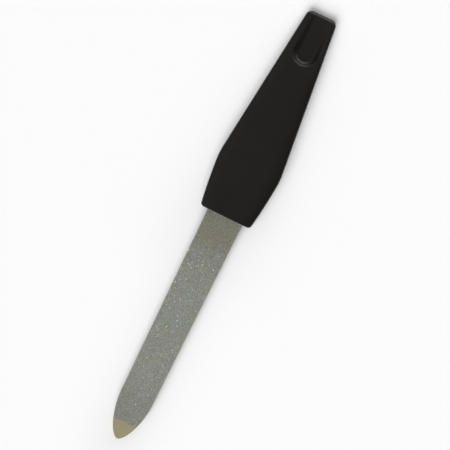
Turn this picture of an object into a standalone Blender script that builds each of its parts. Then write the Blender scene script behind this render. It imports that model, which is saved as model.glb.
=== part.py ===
"""A nail file: a steel blade with a grit coat on each face, held in a moulded plastic handle.

Metres, +Z up. X runs from the blade's tip to the handle's end and the handle's back rests on
z = 0. The origin is at the middle of the file's length, on the surface it rests on. Places along
the blade are distances from its tip, and places along the handle are distances from its mouth.
"""

import math

import bmesh
import bpy
import numpy as np
from mathutils import Vector

# Blade, cut from steel strip
BLADE_REACH = 0.0654             # steel that shows, from the tip to the handle's mouth
BLADE_MOUTH_WIDTH = 0.0102       # width where the blade enters the handle
BLADE_THICKNESS = 0.0005
BLADE_TAPER = math.radians(0.5)  # angle of each long edge to the centre line
TIP_LENGTH = 0.0117              # over which the long edges close to the tip
TIP_POWER_ALONG = 1.74           # the tip is a superellipse with these two powers
TIP_POWER_ACROSS = 1.69
BLADE_EDGE_BREAK = 0.0001        # chamfer round the steel's edges

# Tang, the narrow end of the blade that the handle is moulded round
SHOULDER_DEPTH = 0.0020          # how far the full width runs into the handle
TANG_LENGTH = 0.0270             # from the handle's mouth to the tang's end
TANG_WIDTH = 0.0064
TANG_ROOT_RADIUS = 0.0004
TANG_END_RADIUS = 0.0022
KEY_HOLE_DIAMETER = 0.0026       # holes that the handle's plastic flows through
KEY_END_MARGIN = 0.0055          # from the tang's end to the last hole's centre
KEY_PITCH = 0.0100
KEY_COUNT = 2

# Grit coats, one on each face of the blade
COAT_THICKNESS = 0.00012
COAT_TIP_MARGIN = 0.00485        # bare steel in front of the coat
COAT_EDGE_MARGIN = 0.0002        # bare steel along each long edge
COAT_TUCK = 0.0010               # how far the coat runs into the handle
COAT_EDGE_BREAK = 0.00003
BOND_LINE = 0.00001              # between the coat and the steel

# Handle, seen from above
HANDLE_LENGTH = 0.0596
MOUTH_WIDTH = 0.01454
WAIST_WIDTH = 0.01796            # the widest place, where the head's sides meet the tail's
END_WIDTH = 0.00831
WAIST_PLACE = 0.0150
WAIST_EASE = 0.0019              # length over which each side's corner is rounded, each way
HEAD_BOW = 0.0002                # how far the head's sides bulge from straight
MOUTH_CORNER_RADIUS = 0.00085
END_CORNER_RADIUS = 0.00155

# Handle, seen from the side
MOUTH_THICKNESS = 0.0052
NOSE_THICKNESS = 0.0042          # where the face turns down towards the end
NOSE_LENGTH = 0.0141
NOSE_DROP = 0.0011               # how far the face falls over that length
NOSE_EASE = 0.0025               # length over which the face turns, each way
BACK_LIFT = 0.0005               # how far the back rises at the end
BACK_LIFT_LENGTH = 0.0120
MOUTH_EDGE_RADIUS = 0.0005
END_EDGE_RADIUS = 0.0007

# Handle, in section
FACE_EDGE_RADIUS = 0.0006
BACK_EDGE_RADIUS = 0.0008
SIDE_DRAFT = math.radians(2.5)   # the mould's draft, both ways from the parting line
CROWN_SHARE = 0.03               # the face's fall at its edge, as a share of the half width
CROWN_POWER = 5
CROWN_POINT_SHARES = (0.5, 0.75)

# Scoop, the dish for a fingertip near the handle's end
SCOOP_WIDTH = 0.00604            # between the middles of its side walls
SCOOP_CENTRE_MARGIN = 0.0112     # from the handle's end to the centre of its round end
SCOOP_DEPTH = 0.00095
SCOOP_WALL_BREADTH = 0.0015      # of the wall's S-curve, seen from above
SCOOP_WALL_SHARES = (0.0, 0.15, 0.3, 0.45, 0.6, 0.75, 0.92)

# Fits
POCKET_GAP = 0.00025             # round the steel and its coats inside the handle
KEY_GAP = 0.00025                # round the plastic keys in the tang's holes
CUT_OVERRUN = 0.0010             # how far a cutter passes the face it opens

# Facets
ARC_STEPS = 5
TIP_STEPS = 18
TIP_STEP_POWER = 2.2             # draws the tip's points together towards its nose
HOLE_STEPS = 24
END_STEPS = 6
BODY_STATIONS = 44
SCOOP_ARC_STEPS = 24
SCOOP_SIDE_STEPS = 9
FILLET_LIMIT_SHARE = 0.9         # most of a wall that a fillet may take
SMOOTH_ANGLE = math.radians(25)

TIP_X = -(BLADE_REACH + HANDLE_LENGTH) / 2
MOUTH_X = TIP_X + BLADE_REACH
BLADE_MIDDLE_Z = MOUTH_THICKNESS / 2


def clear_scene():
    """Remove every object of the scene that the script starts in."""
    for item in list(bpy.data.objects):
        bpy.data.objects.remove(item, do_unlink=True)


def principled(name, colour, roughness, metallic=0.0):
    """A plain material: colour as linear red, green and blue."""
    material = bpy.data.materials.new(name)
    material.use_nodes = True
    shader = material.node_tree.nodes["Principled BSDF"]
    shader.inputs["Base Color"].default_value = (*colour, 1.0)
    shader.inputs["Roughness"].default_value = roughness
    shader.inputs["Metallic"].default_value = metallic
    return material


def smooth_curves(mesh):
    """Shade a mesh smooth, with its real edges kept sharp."""
    mesh.shade_smooth()
    mesh.set_sharp_from_angle(angle=SMOOTH_ANGLE)


def add_object(name, bm, material=None):
    """Make an object of a bmesh, with its faces pointing out and its curved sides smooth."""
    bmesh.ops.recalc_face_normals(bm, faces=bm.faces)
    mesh = bpy.data.meshes.new(name)
    bm.to_mesh(mesh)
    bm.free()
    smooth_curves(mesh)
    if material:
        mesh.materials.append(material)
    item = bpy.data.objects.new(name, mesh)
    bpy.context.scene.collection.objects.link(item)
    return item


def eased(x, ease):
    """x where it is positive and 0 where it is negative, joined by a parabola over ease each way."""
    x = np.asarray(x, dtype=float)
    joint = (x + ease) ** 2 / (4 * ease)
    return np.where(x < -ease, 0.0, np.where(x > ease, x, joint))


def corner_inset(distance, radius):
    """How far a round corner of this radius lies inside its square one, at a distance from the end."""
    short = np.clip(radius - distance, 0.0, radius)
    return radius - np.sqrt(radius**2 - short**2)


def rounded(corners):
    """Points of an open path through corners (x, y, radius), turned by an arc at each radius."""
    points = []
    for index, (x, y, radius) in enumerate(corners):
        here = Vector((x, y))
        if radius == 0:
            points.append(here)
            continue
        back = Vector(corners[index - 1][:2]) - here
        ahead = Vector(corners[index + 1][:2]) - here
        turn = math.pi - back.angle(ahead)
        limit = FILLET_LIMIT_SHARE * min(back.length, ahead.length)
        reach = min(radius * math.tan(turn / 2), limit)
        true_radius = reach / math.tan(turn / 2)
        middle = (back.normalized() + ahead.normalized()).normalized()
        centre = here + middle * (true_radius / math.cos(turn / 2))
        spoke = here + back.normalized() * reach - centre
        way = math.copysign(1, ahead.cross(back))
        for step in range(ARC_STEPS + 1):
            angle = way * turn * step / ARC_STEPS
            cos, sin = math.cos(angle), math.sin(angle)
            points.append(centre + Vector((spoke.x * cos - spoke.y * sin, spoke.x * sin + spoke.y * cos)))
    return points


def mirrored(half):
    """Close a half outline, given from front to back at y >= 0, with its mirror image."""
    far = [Vector((point.x, -point.y)) for point in reversed(half)]
    if half[0].y == 0:
        far = far[:-1]
    return list(half) + far


def offset_inwards(outline, distance):
    """The outline moved into its own material by a distance, each corner along its mitre."""
    area = sum(a.cross(b) for a, b in zip(outline, outline[1:] + outline[:1]))
    side = math.copysign(1, area)
    moved = []
    for index, here in enumerate(outline):
        before = (here - outline[index - 1]).normalized()
        after = (outline[(index + 1) % len(outline)] - here).normalized()
        normals = [Vector((-edge.y, edge.x)) * side for edge in (before, after)]
        mitre = (normals[0] + normals[1]).normalized()
        moved.append(here + mitre * (distance / mitre.dot(normals[0])))
    return moved


def circle(centre_x, radius):
    """The points of a round hole on the centre line."""
    turns = [2 * math.pi * step / HOLE_STEPS for step in range(HOLE_STEPS)]
    return [Vector((centre_x + radius * math.cos(turn), radius * math.sin(turn))) for turn in turns]


def bridge(bm, rings):
    """Join each ring of vertices to the next with a band of four-sided faces."""
    for ring, following in zip(rings, rings[1:]):
        for index in range(len(ring)):
            bm.faces.new((ring[index - 1], ring[index], following[index], following[index - 1]))


def plate(name, outline, holes, low, high, edge_break, material=None):
    """A flat plate with round holes, given as (place along X, radius), and chamfered edges."""
    levels = [(low, edge_break), (low + edge_break, 0.0), (high - edge_break, 0.0), (high, edge_break)]
    if edge_break == 0:
        levels = [(low, 0.0), (high, 0.0)]
    bm = bmesh.new()
    rims = ([], [])
    for number in range(len(holes) + 1):
        rings = []
        for height, inset in levels:
            if number == 0:
                loop = offset_inwards(outline, inset)
            else:
                place, radius = holes[number - 1]
                loop = circle(place, radius + inset)
            rings.append([bm.verts.new((point.x, point.y, height)) for point in loop])
        bridge(bm, rings)
        for rim, ring in zip(rims, (rings[0], rings[-1])):
            rim += [bm.edges.get((ring[index - 1], ring[index])) for index in range(len(ring))]
    for rim in rims:
        bmesh.ops.triangle_fill(bm, edges=rim, use_beauty=True, use_dissolve=False)
    return add_object(name, bm, material)


def blade_half_width(place):
    """Half the blade's width at distances from its tip: a tapered strip, closed by a superellipse."""
    place = np.asarray(place, dtype=float)
    edge = BLADE_MOUTH_WIDTH / 2 + math.tan(BLADE_TAPER) * (place - BLADE_REACH)
    ahead = np.clip(1 - place / TIP_LENGTH, 0.0, 1.0)
    return edge * (1 - ahead**TIP_POWER_ALONG) ** (1 / TIP_POWER_ACROSS)


def blade_stations(first, last):
    """Distances from the tip at which the blade's edge gets a point, closest at the nose."""
    tip = TIP_LENGTH * np.linspace(0.0, 1.0, TIP_STEPS + 1) ** TIP_STEP_POWER
    kept = tip[(tip > first) & (tip < last)]
    return np.concatenate([[first], kept, [last]])


def blade_edge(first, last, margin=0.0):
    """The blade's long edge as points in the file's frame, moved in by a margin."""
    stations = blade_stations(first, last)
    widths = np.maximum(blade_half_width(stations) - margin, 0.0)
    return [Vector((TIP_X + place, width)) for place, width in zip(stations, widths)]


def key_places():
    """The tang's holes along X, counted from its end."""
    last = MOUTH_X + TANG_LENGTH - KEY_END_MARGIN
    return [last - KEY_PITCH * number for number in range(KEY_COUNT)]


def tang_corners(grow):
    """Corners of the half tang from its shoulder to its end, grown by a gap all round."""
    root = MOUTH_X + SHOULDER_DEPTH
    end = MOUTH_X + TANG_LENGTH + grow
    half = TANG_WIDTH / 2 + grow
    return root, end, half


def build_blade(material):
    """The steel: a tapered strip with an arched tip, shoulders, and a tang with two key holes."""
    edge = blade_edge(0.0, BLADE_REACH)
    root, end, half = tang_corners(0.0)
    shoulder = float(blade_half_width(BLADE_REACH + SHOULDER_DEPTH))
    corners = [(point.x, point.y, 0.0) for point in edge]
    corners += [(root, shoulder, TANG_ROOT_RADIUS), (root, half, TANG_ROOT_RADIUS)]
    corners += [(end, half, TANG_END_RADIUS), (end, 0.0, 0.0)]
    outline = mirrored(rounded(corners)[:-1])
    holes = [(place, KEY_HOLE_DIAMETER / 2) for place in key_places()]
    low = BLADE_MIDDLE_Z - BLADE_THICKNESS / 2
    return plate("blade", outline, holes, low, low + BLADE_THICKNESS, BLADE_EDGE_BREAK, material)


def build_coat(name, side, material):
    """One grit coat, side +1 on the blade's front face and -1 on its back."""
    last = BLADE_REACH + COAT_TUCK
    outline = mirrored(blade_edge(COAT_TIP_MARGIN, last, COAT_EDGE_MARGIN))
    near = BLADE_THICKNESS / 2 + BOND_LINE
    heights = [BLADE_MIDDLE_Z + side * near, BLADE_MIDDLE_Z + side * (near + COAT_THICKNESS)]
    return plate(name, outline, [], min(heights), max(heights), COAT_EDGE_BREAK, material)


def plan_half_width(place):
    """Half the handle's width at its parting line: bowed head, eased waist, straight tail."""
    tail_slope = (WAIST_WIDTH - END_WIDTH) / 2 / (HANDLE_LENGTH - WAIST_PLACE)
    ahead = eased(WAIST_PLACE - place, WAIST_EASE)
    share = ahead / WAIST_PLACE
    fall = (WAIST_WIDTH - MOUTH_WIDTH) / 2 * share - 4 * HEAD_BOW * share * (1 - share)
    return WAIST_WIDTH / 2 - tail_slope * (place - WAIST_PLACE + ahead) - fall


def main_face_height(place):
    """The straight line that the handle's face follows from the mouth to the nose, run on."""
    straight = HANDLE_LENGTH - NOSE_LENGTH
    return MOUTH_THICKNESS - (MOUTH_THICKNESS - NOSE_THICKNESS) * place / straight


def top_height(place):
    """The handle's face along its middle, turning down over the nose."""
    behind = eased(place - (HANDLE_LENGTH - NOSE_LENGTH), NOSE_EASE)
    return main_face_height(place) - NOSE_DROP * behind / NOSE_LENGTH


def back_height(place):
    """The handle's back: flat, then lifting along a parabola to the end."""
    share = np.clip((place - (HANDLE_LENGTH - BACK_LIFT_LENGTH)) / BACK_LIFT_LENGTH, 0.0, None)
    return BACK_LIFT * share**2


def handle_section(place):
    """The closed section of the handle at one distance from its mouth, as points (y, z)."""
    behind = HANDLE_LENGTH - place
    inset = corner_inset(place, MOUTH_CORNER_RADIUS) + corner_inset(behind, END_CORNER_RADIUS)
    trim = corner_inset(place, MOUTH_EDGE_RADIUS) + corner_inset(behind, END_EDGE_RADIUS)
    half = float(plan_half_width(place) - inset)
    high = float(top_height(place) - trim)
    low = float(back_height(place) + trim)
    parting = (low + high) / 2
    side = half - (high - parting) * math.tan(SIDE_DRAFT)
    fall = CROWN_SHARE * half
    corners = [(0.0, high, 0.0)]
    corners += [(side * share, high - fall * share**CROWN_POWER, 0.0) for share in CROWN_POINT_SHARES]
    corners += [(side, high - fall, FACE_EDGE_RADIUS), (half, parting, 0.0)]
    corners += [(side, low, BACK_EDGE_RADIUS), (0.0, low, 0.0)]
    right = rounded(corners)[:-1]
    left = [Vector((-point.x, point.y)) for point in reversed(right[1:])]
    return right + left


def handle_stations():
    """Distances from the mouth at which the handle gets a section, closer together at its ends."""
    turns = np.linspace(0.0, math.pi / 2, END_STEPS + 1)
    front = MOUTH_CORNER_RADIUS * (1 - np.cos(turns))
    rear = HANDLE_LENGTH - END_CORNER_RADIUS * (1 - np.cos(turns[::-1]))
    body = np.linspace(MOUTH_CORNER_RADIUS, HANDLE_LENGTH - END_CORNER_RADIUS, BODY_STATIONS)
    return np.concatenate([front, body[1:-1], rear])


def handle_blank(material):
    """The handle before anything is cut from it: sections lofted along X, with flat ends."""
    bm = bmesh.new()
    rings = []
    for place in handle_stations():
        section = handle_section(place)
        rings.append([bm.verts.new((MOUTH_X + place, point.x, point.y)) for point in section])
    bridge(bm, rings)
    bm.faces.new(rings[0])
    bm.faces.new(rings[-1])
    return add_object("handle", bm, material)


def mouth_pocket():
    """Cutter for the wide, shallow pocket that takes the blade's shoulders and both coats."""
    half = float(blade_half_width(BLADE_REACH + SHOULDER_DEPTH)) + POCKET_GAP
    front = MOUTH_X - CUT_OVERRUN
    rear = MOUTH_X + SHOULDER_DEPTH + POCKET_GAP
    outline = mirrored([Vector((front, half)), Vector((rear, half))])
    rise = BLADE_THICKNESS / 2 + BOND_LINE + COAT_THICKNESS + POCKET_GAP
    return plate("mouth_pocket", outline, [], BLADE_MIDDLE_Z - rise, BLADE_MIDDLE_Z + rise, 0.0)


def tang_pocket():
    """Cutter for the narrow pocket, with holes that leave the handle's keys standing."""
    root, end, half = tang_corners(POCKET_GAP)
    corners = [(root, half, 0.0), (end, half, TANG_END_RADIUS + POCKET_GAP), (end, 0.0, 0.0)]
    outline = mirrored(rounded(corners)[:-1])
    keys = [(place, KEY_HOLE_DIAMETER / 2 - KEY_GAP) for place in key_places()]
    rise = BLADE_THICKNESS / 2 + POCKET_GAP
    return plate("tang_pocket", outline, keys, BLADE_MIDDLE_Z - rise, BLADE_MIDDLE_Z + rise, 0.0)


def scoop_contour(offset):
    """The scoop's U seen from above, moved out from the middle of its wall: (place, y) pairs."""
    half = SCOOP_WIDTH / 2 + offset
    centre = HANDLE_LENGTH - SCOOP_CENTRE_MARGIN
    turns = np.linspace(math.pi / 2, 3 * math.pi / 2, SCOOP_ARC_STEPS + 1)
    round_end = [(centre + half * math.cos(turn), half * math.sin(turn)) for turn in turns]
    open_end = HANDLE_LENGTH + SCOOP_WALL_BREADTH + offset
    sides = np.linspace(centre, open_end, SCOOP_SIDE_STEPS + 1)[1:]
    return [(place, half) for place in sides[::-1]] + round_end + [(place, -half) for place in sides]


def scoop_cutter():
    """Cutter for the scoop: a level floor, S-curved walls that fade as the nose falls, an open end."""
    bm = bmesh.new()
    rings = []
    for share in SCOOP_WALL_SHARES:
        rise = (1 - math.cos(math.pi * share)) / 2
        ring = []
        for place, y in scoop_contour((share - 0.5) * SCOOP_WALL_BREADTH):
            floor = main_face_height(place) - SCOOP_DEPTH
            wall = max(float(top_height(place)) - floor, 0.0)
            ring.append(bm.verts.new((MOUTH_X + place, y, floor + wall * rise)))
        rings.append(ring)
    outermost = scoop_contour((SCOOP_WALL_SHARES[-1] - 0.5) * SCOOP_WALL_BREADTH)
    lid = [(MOUTH_X + place, y, main_face_height(place) + CUT_OVERRUN) for place, y in outermost]
    rings.append([bm.verts.new(point) for point in lid])
    bridge(bm, rings)
    bm.faces.new(rings[0])
    bm.faces.new(rings[-1])
    return add_object("scoop_cutter", bm)


def cut(target, cutters):
    """Subtract the cutters from a part, one after another, and remove them."""
    for cutter in cutters:
        modifier = target.modifiers.new(cutter.name, "BOOLEAN")
        modifier.operation = "DIFFERENCE"
        modifier.solver = "EXACT"
        modifier.object = cutter
    graph = bpy.context.evaluated_depsgraph_get()
    mesh = bpy.data.meshes.new_from_object(target.evaluated_get(graph))
    target.modifiers.clear()
    target.data = mesh
    smooth_curves(mesh)
    for cutter in cutters:
        bpy.data.objects.remove(cutter, do_unlink=True)


def build_handle(material):
    """The moulded handle: the lofted blank, less the blade's pockets and the scoop."""
    handle = handle_blank(material)
    cut(handle, [mouth_pocket(), tang_pocket(), scoop_cutter()])
    return handle


def main():
    """Build the file's four pieces, each as its own object."""
    clear_scene()
    plastic = principled("black_plastic", (0.016, 0.015, 0.014), 0.42)
    steel = principled("satin_steel", (0.42, 0.40, 0.34), 0.35, metallic=1.0)
    coarse = principled("coarse_grit", (0.24, 0.25, 0.21), 0.65)
    fine = principled("fine_grit", (0.27, 0.28, 0.25), 0.6)
    build_handle(plastic)
    build_blade(steel)
    build_coat("coarse_grit_coat", 1, coarse)
    build_coat("fine_grit_coat", -1, fine)


main()
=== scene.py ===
"""The look of a nail file: a steel blade, crystal grit on both faces, a moulded black handle.

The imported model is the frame. Each of its four nodes is replaced by a finer surface in the same
place: metres, +Z up, X from the blade's tip to the handle's end, the handle's back on z = 0.
Places along the blade are distances from its tip, and places along the handle from its mouth.
"""

import logging
import math
from dataclasses import dataclass, field
from enum import Enum
from typing import Any, Sequence

import bpy
import numpy as np
from mathutils import Euler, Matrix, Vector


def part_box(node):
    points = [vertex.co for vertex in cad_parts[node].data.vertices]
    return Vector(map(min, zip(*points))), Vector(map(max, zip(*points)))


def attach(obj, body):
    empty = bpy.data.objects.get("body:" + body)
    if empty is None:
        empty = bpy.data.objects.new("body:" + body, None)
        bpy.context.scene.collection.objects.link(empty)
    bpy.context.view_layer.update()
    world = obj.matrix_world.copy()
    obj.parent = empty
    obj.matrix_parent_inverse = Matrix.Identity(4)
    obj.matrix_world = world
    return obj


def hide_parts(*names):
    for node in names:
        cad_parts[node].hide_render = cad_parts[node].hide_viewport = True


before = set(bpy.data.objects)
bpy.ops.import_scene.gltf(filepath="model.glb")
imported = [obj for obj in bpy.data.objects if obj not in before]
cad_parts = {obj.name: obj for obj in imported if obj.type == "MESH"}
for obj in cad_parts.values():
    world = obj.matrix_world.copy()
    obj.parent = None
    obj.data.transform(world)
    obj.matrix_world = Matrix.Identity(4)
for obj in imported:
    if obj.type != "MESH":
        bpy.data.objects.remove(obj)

Array = np.ndarray
Colour = tuple[float, float, float]
Range = tuple[float, float]
MM = 0.001
SHARP = math.radians(40)  # an edge bent further than this stays sharp on a smooth surface
log = logging.getLogger("nail_file")


class Face(Enum):
    """The blade's face that a coat lies on, as the sign of the way it looks along Z."""

    FRONT = 1
    BACK = -1


class Domain(Enum):
    """What a named value belongs to in a mesh."""

    POINT = "POINT"
    FACE = "FACE"


# Shapes shared by the pieces


def eased(x: Array, ease: float) -> Array:
    """Join a flat line to a rising one: 0 where x is negative, x where it is positive.

    Between -ease and +ease it is the parabola (x + ease) squared over four times ease.

    Args:
        x: lengths, of any shape.
        ease: how far the parabola reaches each way.

    Returns:
        The eased lengths.
    """
    joint = (x + ease) ** 2 / (4 * ease)
    return np.where(x < -ease, 0.0, np.where(x > ease, x, joint))


def corner_inset(distance: Array, radius: float) -> Array:
    """How far a round corner lies inside its square one, at distances from the end.

    The inset is the radius less the root of radius squared minus what is left of it squared.

    Args:
        distance: distances from the end face.
        radius: the corner's radius.

    Returns:
        The insets, 0 past the radius.
    """
    short = np.clip(radius - distance, 0.0, radius)
    return radius - np.sqrt(radius**2 - short**2)


def s_curve(share: Array, count: int = 400) -> Array:
    """A rise from 0 to 1, level at both ends: a half sine wave, summed up in even steps.

    Args:
        share: how far along the rise, 0 to 1.
        count: the number of steps.

    Returns:
        The heights.
    """
    steps = np.linspace(0.0, 1.0, count + 1)
    height = np.cumsum(np.sin(np.pi * steps))
    return np.interp(np.clip(share, 0.0, 1.0), steps, height / height[-1])


def ripple(x: Array, seed: int, lengths: Sequence[float]) -> Array:
    """A smooth uneven line: a sum of sine waves with chance phases, about -1 to 1.

    Args:
        x: places along the line.
        seed: the chance number that fixes the phases.
        lengths: wave lengths, the longest weighing most.

    Returns:
        The line's heights at x.
    """
    rng = np.random.default_rng(seed)
    phases = rng.uniform(0, 2 * np.pi, len(lengths))
    weights = np.array(lengths) ** 0.5
    waves = [w * np.sin(2 * np.pi * x / long + p) for w, long, p in zip(weights, lengths, phases)]
    return np.sum(waves, axis=0) / weights.sum()


def cell_corners(grid: Array) -> list[Array]:
    """The four corners of every cell of a grid, in order round the cell.

    Args:
        grid: values on a grid, its rows and columns first.

    Returns:
        Four arrays with a value for each cell.
    """
    return [grid[:-1, :-1], grid[1:, :-1], grid[1:, 1:], grid[:-1, 1:]]


def strips(rings: Array) -> Array:
    """Four-sided faces between neighbouring rings of points.

    Args:
        rings: point numbers, a row for each ring, whose last point joins its first.

    Returns:
        Faces as rows of four point numbers.
    """
    closed = np.concatenate([rings, rings[:, :1]], axis=1)
    return np.stack(cell_corners(closed), axis=-1).reshape(-1, 4)


def rim(grid: Array) -> Array:
    """The outermost values of a grid, once round it.

    Args:
        grid: values in rows and columns.

    Returns:
        The values, in one row.
    """
    return np.concatenate([grid[:, 0], grid[-1, 1:-1], grid[::-1, -1], grid[0, -2:0:-1]])


def mirrored(half: Array, signs: tuple[int, int]) -> Array:
    """Close half lines of points with their mirror images, which leave out both ends.

    Args:
        half: the points; the last two axes are along a line and over its two coordinates.
        signs: what the images' coordinates are multiplied by.

    Returns:
        The whole lines.
    """
    return np.concatenate([half, half[..., -2:0:-1, :] * signs], axis=-2)


def circles(centre: float, radius: float, count: int, levels: Sequence[float]) -> Array:
    """Level circles over one another: the radius times the cosine and sine of even turns.

    Args:
        centre: the x of their middle, whose y is 0.
        radius: their radius.
        count: how many points each has.
        levels: their heights.

    Returns:
        The points, as circles, points, xyz.
    """
    turns = np.linspace(0, 2 * math.pi, count + 1)[:-1]
    level, turn = np.meshgrid(levels, turns, indexing="ij")
    return np.stack([centre + radius * np.cos(turn), radius * np.sin(turn), level], axis=-1)


def linked(name: str, data: Any) -> bpy.types.Object:
    """Put a mesh, lamp or camera into the scene, at the origin and unturned.

    Args:
        name: the object's name.
        data: the mesh, lamp or camera.

    Returns:
        The object.
    """
    item = bpy.data.objects.new(name, data)
    bpy.context.scene.collection.objects.link(item)
    return item


@dataclass
class Surface:
    """One mesh while it is gathered as arrays, before Blender gets it."""

    points: list[Array] = field(default_factory=list)
    faces: list[Array] = field(default_factory=list)
    values: dict[str, tuple[Domain, Array]] = field(default_factory=dict)

    def add_points(self, points: Array) -> Array:
        """Add a block of points.

        Args:
            points: an array whose last axis holds x, y and z.

        Returns:
            The points' numbers, in the block's own shape.
        """
        first = sum(len(block) for block in self.points)
        flat = points.reshape(-1, 3)
        self.points.append(flat)
        return first + np.arange(len(flat)).reshape(points.shape[:-1])

    def add_faces(self, faces: Array, flip: bool = False) -> None:
        """Add faces of one corner count, one a row, turned over where flip is set."""
        self.faces.append(faces[:, ::-1] if flip else faces)

    def build(
        self, name: str, material: bpy.types.Material, sharp: float | None
    ) -> bpy.types.Object:
        """Make the mesh and its object, at the origin.

        Args:
            name: the piece's name.
            material: its finish.
            sharp: the angle past which an edge stays sharp, or None for flat facets.

        Returns:
            The object, linked to the scene.
        """
        mesh = bpy.data.meshes.new(name)
        points = np.concatenate(self.points).astype(np.float32)
        corners = np.concatenate([block.ravel() for block in self.faces]).astype(np.int32)
        sizes = np.concatenate([np.full(len(block), block.shape[1]) for block in self.faces])
        mesh.vertices.add(len(points))
        mesh.vertices.foreach_set("co", points.ravel())
        mesh.loops.add(len(corners))
        mesh.loops.foreach_set("vertex_index", corners)
        mesh.polygons.add(len(sizes))
        mesh.polygons.foreach_set("loop_start", (np.cumsum(sizes) - sizes).astype(np.int32))
        mesh.update(calc_edges=True)
        for title, (domain, numbers) in self.values.items():
            layer = mesh.attributes.new(title, "FLOAT", domain.value)
            layer.data.foreach_set("value", numbers.astype(np.float32).ravel())
        if sharp is None:
            mesh.shade_flat()
        else:
            mesh.shade_smooth()
            mesh.set_sharp_from_angle(angle=sharp)
        mesh.materials.append(material)
        return linked(name, mesh)


# Shader graphs


class Wire:
    """One output of a shader graph. Sums and products of wires and numbers add Math nodes."""

    def __init__(self, graph: "Graph", socket: bpy.types.NodeSocket) -> None:
        """Hold a graph's output socket."""
        self.graph = graph
        self.socket = socket

    def math(self, operation: str, *others: Any) -> "Wire":
        """Add a Math node on this wire and others.

        Args:
            operation: the Math node's operation.
            others: wires or numbers for its further inputs.

        Returns:
            The node's result.
        """
        keys = ("Value", "Value_001")
        inputs = dict(zip(keys, (self, *others)))
        return self.graph.add("ShaderNodeMath", {"operation": operation}, inputs, "Value")

    def __add__(self, other: Any) -> "Wire":
        """This plus another."""
        return self.math("ADD", other)

    __radd__ = __add__

    def __mul__(self, other: Any) -> "Wire":
        """This times another."""
        return self.math("MULTIPLY", other)

    __rmul__ = __mul__

    def __sub__(self, other: Any) -> "Wire":
        """This less another."""
        return self.math("SUBTRACT", other)

    def __rsub__(self, other: Any) -> "Wire":
        """Another less this."""
        return (self * -1.0) + other

    def __truediv__(self, other: Any) -> "Wire":
        """This over another."""
        return self.math("DIVIDE", other)

    def between(self, low: float, high: float) -> "Wire":
        """Rise evenly from 0 at low to 1 at high, held at both ends."""
        inputs = {"Value": self, "From Min": low, "From Max": high}
        return self.graph.add("ShaderNodeMapRange", {"clamp": True}, inputs, "Result")

    def around(self, middle: float, spread: float) -> "Wire":
        """Turn 0 to 1 into a swing round a middle, half the spread each way."""
        return self * spread + (middle - spread / 2)


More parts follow.
